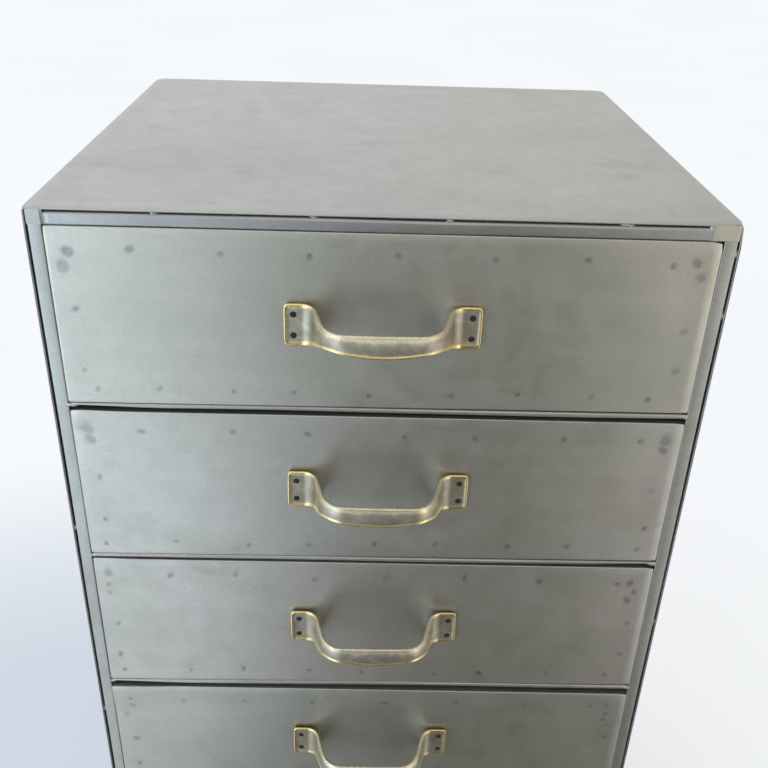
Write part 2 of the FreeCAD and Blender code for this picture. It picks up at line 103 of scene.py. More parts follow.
def add_shape(vertices, faces, more_vertices, more_faces):
    """Adds one shape to the lists of a mesh that holds several."""
    start = len(vertices)
    vertices += more_vertices
    faces += [tuple(start + i for i in face) for face in more_faces]


def paint(piece, name, values):
    """Stores one number per vertex for the materials to read."""
    attribute = piece.data.attributes.new(name, "FLOAT", "POINT")
    attribute.data.foreach_set("value", np.asarray(values, np.float32))


def smooth_step(low, high, value):
    """0 at low and before, rising smoothly to 1 at high and beyond; low may be the larger."""
    t = np.clip((np.asarray(value, float) - low) / (high - low), 0.0, 1.0)
    return t * t * (3.0 - 2.0 * t)


def lines(length, coarse, fine, centres, reach):
    """Grid lines along 0..length, close together within reach of each centre."""
    places = [0.0]
    while places[-1] < length:
        here = places[-1]
        near = any(abs(here + fine - c) < reach for c in centres)
        places.append(here + (fine if near else coarse))
    places = np.array(places)
    return places * (length / places[-1])


def waves(u, v, amount, seed):
    """Slow buckling of thin sheet, between 0 and amount."""
    dice = random.Random(seed)
    total = np.zeros_like(u)
    wave_count = 6
    for _ in range(wave_count):
        angle = dice.uniform(0, math.pi)
        length = dice.uniform(0.09, 0.34)
        phase = dice.uniform(0, 2 * math.pi)
        along = u * math.cos(angle) + v * math.sin(angle)
        total += np.sin(2 * math.pi * along / length + phase) * length
    total -= total.min()
    return total / max(total.max(), 1e-9) * amount


class Mark:
    """One spot weld on a sheet: where it is, how wide and how dark."""

    def __init__(self, u, v, radius, strength):
        self.u, self.v, self.radius, self.strength = u, v, radius, strength


def mark_fields(u, v, marks, dice):
    """How dark the weld marks make each point, and how deep they press it in."""
    dark = np.zeros_like(u)
    dent = np.zeros_like(u)
    for mark in marks:
        lean = dice.uniform(0, math.pi)
        stretch = dice.uniform(1.0, 1.35)
        du, dv = u - mark.u, v - mark.v
        along = (du * math.cos(lean) + dv * math.sin(lean)) / stretch
        across = (dv * math.cos(lean) - du * math.sin(lean)) * stretch ** 0.5
        distance = np.hypot(along, across) / mark.radius
        disc = 1.0 - smooth_step(0.55, 1.3, distance)
        ring = 0.72 + 0.28 * smooth_step(0.1, 0.75, distance)
        dark = np.maximum(dark, disc * ring * mark.strength)
        dent = np.maximum(dent, np.exp(-(distance / 0.8) ** 2) * mark.strength * 0.07 * MM)
    return dark, dent


# Which way each corner of a sheet lies: low left, low right, high left and high right.
CORNER_WAYS = ((-1, -1), (1, -1), (-1, 1), (1, 1))


def round_corners(u, v, half, height, radii):
    """Draws the corners of a square grid in to arcs, with one radius for each of CORNER_WAYS."""
    u, v = u.copy(), v.copy()
    for radius, (side, rise) in zip(radii, CORNER_WAYS):
        if radius <= 0:
            continue
        centre_u = side * (half - radius)
        centre_v = height - radius if rise > 0 else radius
        a = (u - centre_u) * side / radius
        b = (v - centre_v) * rise / radius
        inside = (a > 0) & (b > 0)
        reach = np.hypot(a, b)
        scale = np.where(inside, np.maximum(a, b) / np.maximum(reach, 1e-9), 1.0)
        u = np.where(inside, centre_u + side * a * scale * radius, u)
        v = np.where(inside, centre_v + rise * b * scale * radius, v)
    return u, v


def outward(u, v, half, height, radii):
    """Unit normals in the sheet's own plane at its rim."""
    across = np.where(np.abs(u) > half - 1e-7, np.sign(u), 0.0)
    up = np.where(v > height - 1e-7, 1.0, np.where(v < 1e-7, -1.0, 0.0))
    for radius, (side, rise) in zip(radii, CORNER_WAYS):
        if radius <= 0:
            continue
        du = u - side * (half - radius)
        dv = v - (height - radius if rise > 0 else radius)
        inside = (du * side > 0) & (dv * rise > 0)
        across = np.where(inside, du, across)
        up = np.where(inside, dv, up)
    size = np.maximum(np.hypot(across, up), 1e-9)
    return across / size, up / size


def rim_places(rows, columns):
    """Row and column of each point round the rim of a grid, in order."""
    rim = [(0, c) for c in range(columns - 1)]
    rim += [(r, columns - 1) for r in range(rows - 1)]
    rim += [(rows - 1, c) for c in range(columns - 1, 0, -1)]
    rim += [(r, 0) for r in range(rows - 1, 0, -1)]
    return rim


def rim_profile(bend, flange):
    """Steps round the rim of a sheet, each so far outside its face and so far back from it."""
    steps = []
    for turn in (30, 60, 90):
        angle = math.radians(turn)
        steps.append((bend * math.sin(angle), bend * (1 - math.cos(angle))))
    if flange:
        inner = bend - SHEET
        steps += [(bend, flange * 0.5), (bend, flange - 0.2 * MM), (bend - 0.3 * MM, flange),
                  (inner + 0.2 * MM, flange), (inner, flange - 0.2 * MM), (inner, SHEET + 0.4 * MM)]
    else:
        steps += [(bend, SHEET - bend), (bend * 0.3, SHEET)]
    return steps


def sheet_faces(rows, columns, rim, loop_count):
    """Faces of the front grid, the back grid and the loops of rim points between them."""
    loop_starts = [rows * columns + k * len(rim) for k in range(loop_count)]
    back_start = rows * columns + loop_count * len(rim)
    faces = []
    for r in range(rows - 1):
        for c in range(columns - 1):
            a = r * columns + c
            faces.append((a, a + 1, a + columns + 1, a + columns))
            b = back_start + a
            faces.append((b, b + columns, b + columns + 1, b + 1))
    rings = [[r * columns + c for r, c in rim]]
    rings += [list(range(start, start + len(rim))) for start in loop_starts]
    rings.append([back_start + r * columns + c for r, c in rim])
    for inner, outer in zip(rings, rings[1:]):
        for k in range(len(rim)):
            following = (k + 1) % len(rim)
            faces.append((inner[k], outer[k], outer[following], inner[following]))
    return faces


FINE_STEP = 1.6 * MM       # grid lines near a weld mark
MARK_REACH = 8.5 * MM      # how far from a mark they stay that close
CALM_RIM = 20 * MM         # how far in from the edges the buckling starts to fade


def sheet_piece(name, width, height, to_world, radii, bend, marks, seed, flange=0.0, wave=0.0,
                step=6 * MM, shape=None, dark_edge=None):
    """A plate of thin sheet with rounded rim, spot-weld marks and slow buckling.

    u runs across the plate from its middle, v up from its lower edge, and w into the object.
    With a flange the rim is folded back by that much. shape moves the points before to_world
    places them, and dark_edge says how dark each is besides the marks, as painted shade."""
    dice = random.Random(seed)
    half = width / 2
    us = lines(width, step, FINE_STEP, [m.u + half for m in marks], MARK_REACH) - half
    vs = lines(height, step, FINE_STEP, [m.v for m in marks], MARK_REACH)
    grid_u, grid_v = np.meshgrid(us, vs)
    rows, columns = grid_u.shape
    face_half = half - bend
    face_height = height - 2 * bend
    face_radii = [max(r - bend, 0.0) for r in radii]
    flat_u, flat_v = round_corners(grid_u * (1.0 - bend / half), grid_v * (face_height / height),
                                   face_half, face_height, face_radii)
    dark, dent = mark_fields(flat_u, flat_v + bend, marks, dice)
    edge = np.minimum(np.minimum(flat_v, face_height - flat_v), face_half - np.abs(flat_u))
    buckle = waves(flat_u, flat_v, wave, seed) * smooth_step(0.0, CALM_RIM, edge)
    depth = buckle + dent

    rim = rim_places(rows, columns)
    rim_rows = np.array([r for r, _ in rim])
    rim_columns = np.array([c for _, c in rim])
    rim_u, rim_v = flat_u[rim_rows, rim_columns], flat_v[rim_rows, rim_columns]
    normal_u, normal_v = outward(rim_u, rim_v, face_half, face_height, face_radii)
    profile = rim_profile(bend, flange)

    points = [np.stack([flat_u, flat_v + bend, depth], -1).reshape(-1, 3)]
    shade = [dark.reshape(-1)]
    for out, back in profile:
        points.append(np.stack([rim_u + normal_u * out, rim_v + bend + normal_v * out,
                                np.full_like(rim_u, back)], -1))
        shade.append(np.zeros(len(rim)))
    shrink = SHEET if flange else 0.0
    back_u = flat_u * (1 - shrink / half)
    back_v = (flat_v - face_height / 2) * (1 - 2 * shrink / height) + face_height / 2
    points.append(np.stack([back_u, back_v + bend, depth + SHEET], -1).reshape(-1, 3))
    shade.append(dark.reshape(-1) * 0.6)

    flat = np.concatenate(points)
    if shape:
        flat = shape(flat)
    piece = new_piece(name, to_world(flat), sheet_faces(rows, columns, rim, len(profile)))
    # Besides the weld marks, the "weld" attribute takes the painted shade given by dark_edge.
    paint(piece, "weld", np.maximum(np.concatenate(shade), dark_edge(flat) if dark_edge else 0.0))
    return piece


def rounded_path(corners, radii, step):
    """Points along straight runs joined by tangent arcs. corners: 2-D points, radii: one each."""
    path = [np.array(corners[0], float)]
    for before, here, after, radius in zip(corners, corners[1:], corners[2:], radii[1:-1]):
        before, here, after = (np.array(p, float) for p in (before, here, after))
        into = (here - before) / np.linalg.norm(here - before)
        away = (after - here) / np.linalg.norm(after - here)
        turn = math.acos(np.clip(into @ away, -1, 1))
        reach = radius * math.tan(turn / 2)
        side = 1.0 if into[0] * away[1] - into[1] * away[0] > 0 else -1.0
        normal = np.array([-into[1], into[0]]) * side
        centre = here - into * reach + normal * radius
        count = max(int(radius * turn / step), 2)
        for k in range(count + 1):
            angle = turn * k / count
            path.append(centre - normal * radius * math.cos(angle) + into * radius * math.sin(angle))
    path.append(np.array(corners[-1], float))
    filled = [path[0]]
    for point in path[1:]:
        gap = np.linalg.norm(point - filled[-1])
        pieces = max(int(round(gap / step)), 1)
        start = filled[-1]
        filled += [start + (point - start) * (k / pieces) for k in range(1, pieces + 1)]
    return np.array(filled)


def tube_faces(stations, around):
    """Faces of a lofted skin, closed at both ends, with so many stations and points around."""
    faces = []
    for s in range(stations - 1):
        for k in range(around):
            following = (k + 1) % around
            a, b = s * around, (s + 1) * around
            faces.append((a + k, a + following, b + following, b + k))
    faces.append(tuple(range(around)))
    last = (stations - 1) * around
    faces.append(tuple(range(last, last + around)))
    return faces


def bar_section(low_a, high_a, low_b, high_b, radii):
    """Rectangle in two axes with its own radius at each corner, counter-clockwise from low, low."""
    corners = ((low_a, low_b, 180), (high_a, low_b, 270), (high_a, high_b, 0), (low_a, high_b, 90))
    outline = []
    for (a, b, start), radius in zip(corners, radii):
        centre_a = a + radius if a == low_a else a - radius
        centre_b = b + radius if b == low_b else b - radius
        for k in range(ARC_POINTS):
            angle = math.radians(start + 90 * k / (ARC_POINTS - 1))
            outline.append((centre_a + radius * math.cos(angle), centre_b + radius * math.sin(angle)))
    return outline


def blob(centre, size, seed):
    """Vertices and faces of a lumpy flattened ball."""
    rings, sides = 14, 20
    dice = random.Random(seed)
    lumps = [(dice.uniform(0, FULL_TURN), dice.uniform(2, 4)) for _ in range(3)]
    vertices = []
    for r in range(rings + 1):
        tall = math.pi * r / rings
        ring = max(math.sin(tall), 0.01)
        for k in range(sides):
            turn = 2 * math.pi * k / sides
            swell = 1 + sum(0.05 * math.sin(rate * turn + phase + tall * 2) for phase, rate in lumps)
            vertices.append((centre[0] + size[0] * ring * math.cos(turn) * swell,
                             centre[1] + size[1] * math.cos(tall) * swell,
                             centre[2] + size[2] * ring * math.sin(turn) * swell))
    return vertices, tube_faces(rings + 1, sides)


def solid_boxes(mesh):
    """Middle and size of each separate solid in a mesh, from left to right."""
    work = bmesh.new()
    work.from_mesh(mesh)
    bmesh.ops.remove_doubles(work, verts=work.verts, dist=1e-6)
    seen, boxes = set(), []
    for start in work.verts:
        if start.index in seen:
            continue
        stack, members = [start], []
        seen.add(start.index)
        while stack:
            here = stack.pop()
            members.append(here.co.copy())
            for edge in here.link_edges:
                other = edge.other_vert(here)
                if other.index not in seen:
                    seen.add(other.index)
                    stack.append(other)
        lows = Vector([min(m[i] for m in members) for i in range(3)])
        highs = Vector([max(m[i] for m in members) for i in range(3)])
        boxes.append(((lows + highs) / 2, highs - lows))
    work.free()
    return sorted(boxes, key=lambda box: tuple(box[0]))


# ---------------------------------------------------------------- materials

class Shader:
    """A material's node tree, with short calls for the nodes used here."""

    def __init__(self, name):
        self.material = bpy.data.materials.new(name)
        self.material.use_nodes = True
        self.tree = self.material.node_tree
        self.surface = next(n for n in self.tree.nodes if n.type == "BSDF_PRINCIPLED")
        self.place = self.tree.nodes.new("ShaderNodeTexCoord").outputs["Object"]

    def link(self, source, target):
        self.tree.links.new(source, target)

    def put(self, value, socket):
        if isinstance(value, bpy.types.NodeSocket):
            self.link(value, socket)
        else:
            socket.default_value = value

    def stretched(self, scale, offset):
        """Places scaled and then moved, for a noise to read."""
        node = self.tree.nodes.new("ShaderNodeMapping")
        node.inputs["Scale"].default_value = scale
        node.inputs["Location"].default_value = offset
        self.link(self.place, node.inputs["Vector"])
        return node.outputs["Vector"]

    def noise(self, scale, detail, rough, vector=None, distortion=0.0):
        node = self.tree.nodes.new("ShaderNodeTexNoise")
        node.inputs["Scale"].default_value = scale
        node.inputs["Detail"].default_value = detail
        node.inputs["Roughness"].default_value = rough
        node.inputs["Distortion"].default_value = distortion
        self.link(vector or self.place, node.inputs["Vector"])
        return node.outputs["Fac"]

    def attribute(self, name):
        node = self.tree.nodes.new("ShaderNodeAttribute")
        node.attribute_name = name
        return node.outputs["Fac"]

    def spread(self, value, low, high, out_low=0.0, out_high=1.0):
        """Eases a value from low..high over to out_low..out_high."""
        node = self.tree.nodes.new("ShaderNodeMapRange")
        node.interpolation_type = "SMOOTHSTEP"
        self.put(value, node.inputs["Value"])
        node.inputs["From Min"].default_value = low
        node.inputs["From Max"].default_value = high
        node.inputs["To Min"].default_value = out_low
        node.inputs["To Max"].default_value = out_high
        return node.outputs["Result"]

    def distance(self, place, near, far):
        """0 within near of a place, rising to 1 beyond far."""
        node = self.tree.nodes.new("ShaderNodeVectorMath")
        node.operation = "DISTANCE"
        self.link(self.place, node.inputs[0])
        node.inputs[1].default_value = place
        return self.spread(node.outputs["Value"], near, far)

    def combine(self, kind, a, b):
        """Two values taken together by a Math node: ADD or MULTIPLY."""
        node = self.tree.nodes.new("ShaderNodeMath")
        node.operation = kind
        self.put(a, node.inputs[0])
        self.put(b, node.inputs[1])
        return node.outputs["Value"]

    def mix(self, fac, a, b):
        """Colour a where fac is 0 and b where it is 1."""
        node = self.tree.nodes.new("ShaderNodeMix")
        node.data_type = "RGBA"
        self.put(fac, node.inputs[0])
        for value, socket in ((a, node.inputs[6]), (b, node.inputs[7])):
            self.put(value if isinstance(value, bpy.types.NodeSocket) else (*value, 1.0), socket)
        return node.outputs[2]

    def bump(self, value, depth, strength):
        node = self.tree.nodes.new("ShaderNodeBump")
        node.inputs["Distance"].default_value = depth
        node.inputs["Strength"].default_value = strength
        self.link(value, node.inputs["Height"])
        self.link(node.outputs["Normal"], self.surface.inputs["Normal"])

    def finish(self, colour, roughness, metallic, coat=0.0):
        self.link(colour, self.surface.inputs["Base Color"])
        self.put(roughness, self.surface.inputs["Roughness"])
        self.surface.inputs["Metallic"].default_value = metallic
        self.surface.inputs["Coat Weight"].default_value = coat
        self.surface.inputs["Coat Roughness"].default_value = 0.3
        return self.material


def scaled(colour, factor):
    return tuple(c * factor for c in colour)


def steel(name, light, dark, rough, seed, marks=True):
    """Lacquered raw sheet: blotchy greys, faint rolling streaks, brown stains, dark weld marks and
    painted shade along marked edges.
    """
    s = Shader(name)
    shift = (seed * 1.7, seed * 2.3, seed * 0.9)
    stain_shift = tuple(c + 3.1 for c in shift)
    stain_colour = (dark[0] * 0.72, dark[1] * 0.66, dark[2] * 0.60)
    cloud = s.noise(7.0, 5.0, 0.6, s.stretched((1, 1, 1), shift), 0.6)
    mottle = s.noise(55.0, 4.0, 0.65, s.stretched((1, 1, 1), shift), 0.3)
    grain = s.noise(420.0, 3.0, 0.6)
    streak = s.noise(16.0, 4.0, 0.6, s.stretched((0.25, 0.25, 4.0), shift))
    stain = s.noise(11.0, 5.0, 0.62, s.stretched((1, 1, 1.3), stain_shift), 0.8)
    colour = s.mix(s.spread(cloud, 0.30, 0.70), dark, light)
    colour = s.mix(s.spread(mottle, 0.35, 0.68, 0.0, 0.22), colour, scaled(dark, 0.88))
    colour = s.mix(s.spread(streak, 0.42, 0.72, 0.0, 0.22), colour, scaled(light, 1.12))
    colour = s.mix(s.spread(grain, 0.42, 0.72, 0.0, 0.17), colour, scaled(dark, 0.6))
    colour = s.mix(s.spread(stain, 0.52, 0.78, 0.0, 0.45), colour, stain_colour)
    roughness = s.spread(mottle, 0.3, 0.7, rough - 0.02, rough + 0.03)
    if marks:
        # The "weld" attribute holds the weld marks and also the painted shade of the side sheets' front
        # edges, both drawn in the same dark colour.
        weld = s.attribute("weld")
        broken = s.combine("MULTIPLY", weld, s.spread(mottle, 0.2, 0.7, 1.0, 0.6))
        scorch_and_gap_shade = s.mix(s.spread(grain, 0.4, 0.6), (0.10, 0.098, 0.108), (0.155, 0.147, 0.15))
        colour = s.mix(broken, colour, scorch_and_gap_shade)
    relief = s.combine("ADD", s.combine("MULTIPLY", mottle, 0.4), s.combine("MULTIPLY", grain, 0.6))
    s.bump(relief, 0.07 * MM, 0.4)
    return s.finish(colour, roughness, 0.92, coat=0.12)


def brass(name):
    """Antique brass: grey-brown patina, rubbed pale and then gold as the attribute "rubbed" rises."""
    s = Shader(name)
    patches = s.noise(95.0, 4.0, 0.6, distortion=0.5)
    fine = s.noise(600.0, 3.0, 0.6)
    rubbed = s.attribute("rubbed")
    wear = s.combine("ADD", rubbed, s.spread(patches, 0.3, 0.75, -0.15, 0.15))
    patina = s.mix(s.spread(patches, 0.35, 0.7), (0.33, 0.30, 0.24), (0.46, 0.42, 0.33))
    pale = s.mix(s.spread(fine, 0.35, 0.7), (0.56, 0.49, 0.35), (0.72, 0.65, 0.49))
    gold = s.mix(s.spread(fine, 0.35, 0.7), (0.72, 0.55, 0.22), (0.88, 0.70, 0.32))
    colour = s.mix(s.spread(wear, 0.15, 0.5), patina, pale)
    colour = s.mix(s.spread(wear, 0.55, 0.85), colour, gold)
    roughness = s.spread(wear, 0.2, 0.9, 0.47, 0.30)
    relief = s.combine("ADD", s.combine("MULTIPLY", patches, 0.8), s.combine("MULTIPLY", fine, 0.2))
    s.bump(relief, 0.2 * MM, 0.45)
    return s.finish(colour, roughness, 1.0)


def dark_steel(name):
    """Blackened rivet heads."""
    s = Shader(name)
    fine = s.noise(900.0, 3.0, 0.6)
    colour = s.mix(s.spread(fine, 0.4, 0.7), (0.006, 0.006, 0.006), (0.025, 0.022, 0.02))
    s.bump(fine, 0.1 * MM, 0.4)
    return s.finish(colour, s.spread(fine, 0.3, 0.7, 0.6, 0.75), 0.3)


def bead_metal(name):
    """Tack welds: bright rippled beads with a straw-coloured heat tint."""
    s = Shader(name)
    tint = s.noise(260.0, 3.0, 0.6)
    ripple = s.noise(900.0, 2.0, 0.5)
    colour = s.mix(s.spread(tint, 0.4, 0.62), (0.40, 0.385, 0.32), (0.50, 0.49, 0.44))
    s.bump(ripple, 0.2 * MM, 0.5)
    return s.finish(colour, s.spread(ripple, 0.3, 0.7, 0.42, 0.55), 0.95)


def rubber(name):
    """Black moulded rubber of the glides."""
    s = Shader(name)
    grain = s.noise(700.0, 4.0, 0.6)
    colour = s.mix(s.spread(grain, 0.35, 0.7), (0.02, 0.02, 0.02), (0.05, 0.05, 0.048))
    s.bump(grain, 0.1 * MM, 0.5)
    return s.finish(colour, s.spread(grain, 0.3, 0.7, 0.62, 0.78), 0.0)


def dress(piece, material):
    piece.data.materials.clear()
    piece.data.materials.append(material)


FRONT_LIGHT, FRONT_DARK = (0.462, 0.456, 0.408), (0.400, 0.394, 0.345)
LOOKS = {
    "top": steel("top_sheet", (0.420, 0.414, 0.386), (0.370, 0.364, 0.338), 0.42, 1),
    "side": steel("side_sheet", (0.44, 0.437, 0.42), (0.38, 0.377, 0.36), 0.43, 2),
    "frame": steel("frame_steel", (0.40, 0.397, 0.375), (0.335, 0.33, 0.31), 0.40, 3),
    "rail": steel("rolled_rail", (0.375, 0.367, 0.358), (0.30, 0.293, 0.292), 0.38, 6),
    "ground": steel("ground_welds", (0.46, 0.45, 0.39), (0.40, 0.39, 0.33), 0.44, 5, marks=False),
    "hidden": steel("inner_steel", (0.40, 0.40, 0.39), (0.30, 0.30, 0.29), 0.45, 4, marks=False),
    "brass": brass("antique_brass"),
    "rivet": dark_steel("black_rivets"),
    "bead": bead_metal("weld_beads"),
    "rubber": rubber("glide_rubber"),
}


# ---------------------------------------------------------------- drawers

def front_marks(number, height):
    """Spot welds round a drawer front: two rows, two columns and clusters in the top corners."""
    dice = random.Random(100 + number)
    cluster_radius = 3.6 if number < 3 else 2.5
    marks = []

    def add(u, v, low, high):
        """One mark at u, v with a radius between low and high, in millimetres."""
        marks.append(Mark(u, v, dice.uniform(low, high) * MM, dice.uniform(0.55, 0.95)))

    upper_row, lower_row = 7, 9
    for k in range(upper_row):
        across = -0.36 + 0.13 * k + dice.uniform(-0.013, 0.013)
        drop = dice.uniform(13.0, 17.0) * MM
        add(across * WIDTH, height - drop, 1.9, 2.5)
    for k in range(lower_row):
        across = -0.44 + 0.108 * k + dice.uniform(-0.016, 0.016)
        rise = dice.uniform(9.0, 13.0) * MM
        add(across * WIDTH, rise, 1.7, 2.4)
    for side in (-1, 1):
        column = side * 0.447 * WIDTH
        for drop in (58.0, 92.0):
            add(column + dice.uniform(-2, 2) * MM,
                height - (drop + dice.uniform(-6, 10)) * MM, 1.8, 2.6)
        for k in range(dice.choice((2, 2, 3))):
            add(column + dice.uniform(-4, 3) * MM,
                height - (15 + 9 * k + dice.uniform(-1.5, 1.5)) * MM,
                cluster_radius - 0.7, cluster_radius + 0.8)
    return marks


# How far a front's top edge hangs low at its left and right end, in millimetres; below 0 it rises.
# The fronts not named here vary by chance.
TOP_DROOPS = {1: (-2.4, -2.3), 2: (0.0, 0.9), 4: (1.2, 3.8)}
SPRUNG_FRONT = 4           # its top left corner stands forward
WORN_FRONT = 1             # its top right corner is rounder, and its top left one isn't pinched


def make_front(number):
    """Folded sheet pan that stands for the plain CAD front."""
    node = "drawer_front_%d" % number
    low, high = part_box(node)
    width, height = high.x - low.x + 0.35 * MM, high.z - low.z
    dice = random.Random(500 + number)
    chance = (dice.uniform(-1.2, -0.2), dice.uniform(-0.9, 0.1))
    droop_left, droop_right = (droop * MM for droop in TOP_DROOPS.get(number, chance))
    proud = 2.0 * MM if number == SPRUNG_FRONT else 0.0
    right_corner = 3.6 * MM if number == WORN_FRONT else 1.6 * MM
    pinch = 0.0 if number == WORN_FRONT else dice.uniform(0.5, 1.0) * MM
    tilt = dice.uniform(-0.3, 0.3) * MM

    def hand_made(points):
        """Lets the top edge droop unevenly, leans the front a little and springs one corner forward."""
        across = points[:, 0] / width + 0.5
        up = np.clip(points[:, 1] / height, 0, 1)
        droop = droop_left * (1 - across) + droop_right * across
        droop -= pinch * smooth_step(0.10, 0.0, across)
        points[:, 1] -= droop * smooth_step(0.6, 1.0, up)
        points[:, 1] += (across - 0.5) * MM * smooth_step(0.4, 0.0, up)
        points[:, 2] += 0.3 * MM + tilt * (across - 0.5)
        corner = smooth_step(0.86, 1.0, 1 - across) * smooth_step(0.72, 1.0, up)
        points[:, 2] -= proud * corner
        return points

    def to_world(points):
        return np.stack([points[:, 0], low.y + points[:, 2], low.z + points[:, 1]], -1)

    piece = sheet_piece("front_pan_%d" % number, width, height, to_world,
                        radii=(1.4 * MM, 1.4 * MM, 1.6 * MM, right_corner), bend=0.65 * MM,
                        flange=(high.y - low.y) - 0.6 * MM, marks=front_marks(number, height),
                        wave=0.35 * MM, seed=number, shape=hand_made)
    light = tuple(c * dice.uniform(0.97, 1.03) for c in FRONT_LIGHT)
    dress(piece, steel("front_sheet_%d" % number, light, FRONT_DARK, 0.40, 10 + number))
    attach(piece, "drawer_%d" % number)
    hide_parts(node)


# Bow pull, in millimetres. Its path runs across from its middle and out from the drawer front.
PULL_END = 65.0            # half its length
NECK = 45.5                # where the foot turns into the neck
CORNER = 35.5              # where the neck turns into the grip
NECK_ROUND = 10.5
CORNER_ROUND = 16.0
FOOT_OUT = 1.6             # middle of the foot's thickness
GRIP_OUT = 35.6            # the same for the grip
FOOT_HALF = 15.75          # half the foot's height
GRIP_TOP = 9.4             # upper edge of the grip, above the pull's middle
SHOULDER_LOW = -0.6        # lower edge at the grip's ends
GRIP_LOW = -6.8            # lower edge at the grip's middle
END_ROUND = 3.0
PATH_STEP = 1.1
FACE_POINTS = 22
BACK_POINTS = 8


def pull_section(x, out):
    """Lower edge, upper edge, edge thickness, crown and rim of the section at a point of the path."""
    reach = abs(x)
    neck = min(max((out - FOOT_OUT) / (GRIP_OUT - FOOT_OUT), 0.0), 1.0)
    arch = max(1 - (reach / CORNER) ** 2, 0.0) * neck
    low = -FOOT_HALF + (FOOT_HALF + SHOULDER_LOW) * neck + (GRIP_LOW - SHOULDER_LOW) * arch
    high = FOOT_HALF - (FOOT_HALF - GRIP_TOP) * neck
    if reach > PULL_END - END_ROUND:
        inward = END_ROUND - math.sqrt(max(END_ROUND ** 2 - (reach - PULL_END + END_ROUND) ** 2, 0.0))
        low += inward
        high -= inward
    thick = 3.0 - 0.8 * neck
    crown = 0.1 + 2.3 * neck
    rim = 0.5 - 0.15 * neck
    return low, high, thick, crown, rim


def pull_path():
    """Points from one end of the pull to the other, and the unit normal away from the drawer at each."""
    corners = [(PULL_END, FOOT_OUT), (NECK, FOOT_OUT), (CORNER, GRIP_OUT - 0.4), (0.0, GRIP_OUT)]
    half = rounded_path(corners, [0, NECK_ROUND, CORNER_ROUND, 0], PATH_STEP)
    path = np.concatenate([half[:-1], (half * (-1, 1))[::-1]])
    normals = []
    for index in range(len(path)):
        ahead = path[min(index + 1, len(path) - 1)] - path[max(index - 1, 0)]
        ahead /= np.linalg.norm(ahead)
        normal = np.array([-ahead[1], ahead[0]])
        normals.append(-normal if normal[1] < 0 else normal)
    return path, normals


def pull_face(v, section, foot, end_rim):
    """How far the pull's face stands off its path, and how rubbed it is there.

    v is -1 at the lower edge and 1 at the upper. foot is 1 on a foot and 0 on the neck and grip,
    and end_rim is 1 at the pull's very ends."""
    _, _, thick, crown, rim = section
    raised = max(float(smooth_step(0.74, 0.88, abs(v))), end_rim * foot)
    lip = 0.9 * (1 - foot) * float(smooth_step(0.55, 0.84, -v))
    soften = 0.7 * float(smooth_step(0.93, 1.0, abs(v)))
    fall = abs(v) ** 1.8 if v > 0 else 0.62 * abs(v) ** 2.2
    offset = thick / 2 + crown * (1 - fall) + rim * raised + lip - soften
    lower_edge = float(smooth_step(0.55 + 0.15 * foot, 0.76 + 0.08 * foot, -v))
    upper_edge = float(smooth_step(0.72, 0.88, v)) * (0.55 + 0.45 * foot)
    crest = 0.5 * (1 - foot) * float(np.exp(-((v - 0.7) / 0.35) ** 2))
    return offset, max(lower_edge, upper_edge, end_rim, crest, 0.12 * foot)


def pull_mesh(name):
    """Lofts the cast pull from end to end about its own middle."""
    path, normals = pull_path()
    points, rubbed = [], []
    for (x, out), normal in zip(path, normals):
        section = pull_section(x, out)
        low, high, thick, _, _ = section
        middle, span = (low + high) / 2, (high - low) / 2
        foot = float(smooth_step(FOOT_OUT + 8.0, FOOT_OUT + 1.0, out))
        end_rim = float(smooth_step(PULL_END - 3.0, PULL_END - 1.2, abs(x)))
        for k in range(FACE_POINTS):
            v = -1 + 2 * k / (FACE_POINTS - 1)
            offset, wear = pull_face(v, section, foot, end_rim)
            spot = np.array([x, out]) + normal * offset
            points.append((spot[0], spot[1], middle + span * v))
            rubbed.append(wear)
        for k in range(BACK_POINTS):
            v = 1 - 2 * (k + 0.5) / BACK_POINTS
            hollow = 0.8 * (1 - v * v) * (1 - foot)
            spot = np.array([x, out]) - normal * (thick / 2 - hollow)
            spot[1] = max(spot[1], 0.05)
            points.append((spot[0], spot[1], middle + (span - 0.25) * v))
            rubbed.append(0.1)
    vertices = [(x * MM, -out * MM, z * MM) for x, out, z in points]
    piece = new_piece(name, vertices, tube_faces(len(path), FACE_POINTS + BACK_POINTS))
    paint(piece, "rubbed", rubbed)
    return piece


def make_pull(number):
    """Cast brass pull, set a hair out of level by hand."""
    low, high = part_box("handle_%d" % number)
    piece = pull_mesh("bow_pull_%d" % number)
    dice = random.Random(900 + number)
    lean = Matrix.Rotation(math.radians(dice.uniform(-0.35, 0.35)), 4, "Y")
    piece.data.transform(Matrix.Translation((0, high.y, (low.z + high.z) / 2)) @ lean)
    smoothing = piece.modifiers.new("soften", "SUBSURF")
    smoothing.levels = 1
    smoothing.render_levels = 1
    dress(piece, LOOKS["brass"])
    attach(piece, "drawer_%d" % number)
    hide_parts("handle_%d" % number)


